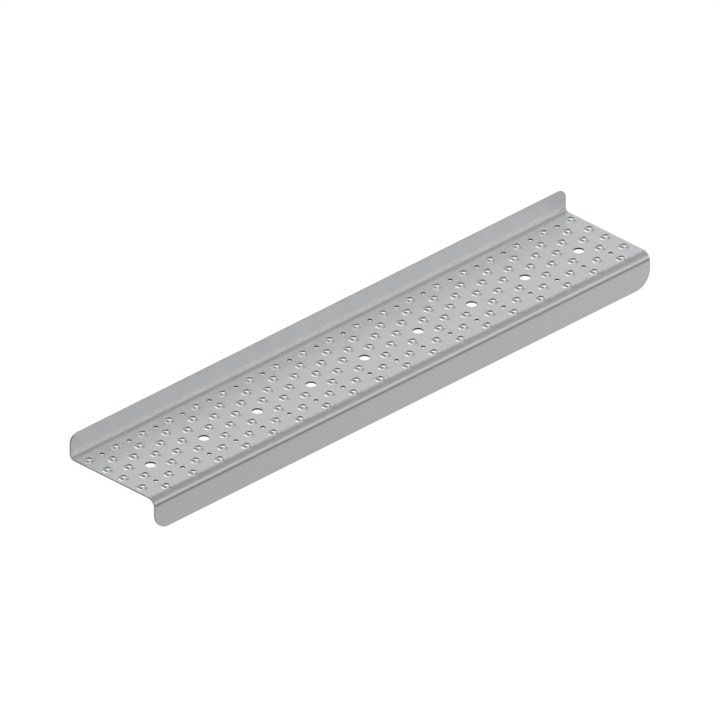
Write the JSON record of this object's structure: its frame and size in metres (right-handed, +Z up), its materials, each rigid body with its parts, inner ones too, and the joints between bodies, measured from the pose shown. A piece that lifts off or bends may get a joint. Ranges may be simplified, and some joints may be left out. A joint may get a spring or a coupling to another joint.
{
  "type": "scaffold plank",
  "caption": "Narrow perforated sheet-steel walking plank, dimpled for grip, with an upstand along its back edge and a rounded skirt along its front edge.",
  "frame": {"origin": "underside of the deck, at mid-length and mid-width", "axes": "+X along the length, +Y towards the upstand at the back, +Z up out of the walking face"},
  "size_m": [0.74, 0.128, 0.0656],
  "materials": {
    "galvanised_steel": "galvanised, satin"
  },
  "bodies": {
    "root": {"plank_sheet": "galvanised_steel"}
  },
  "joints": []
}
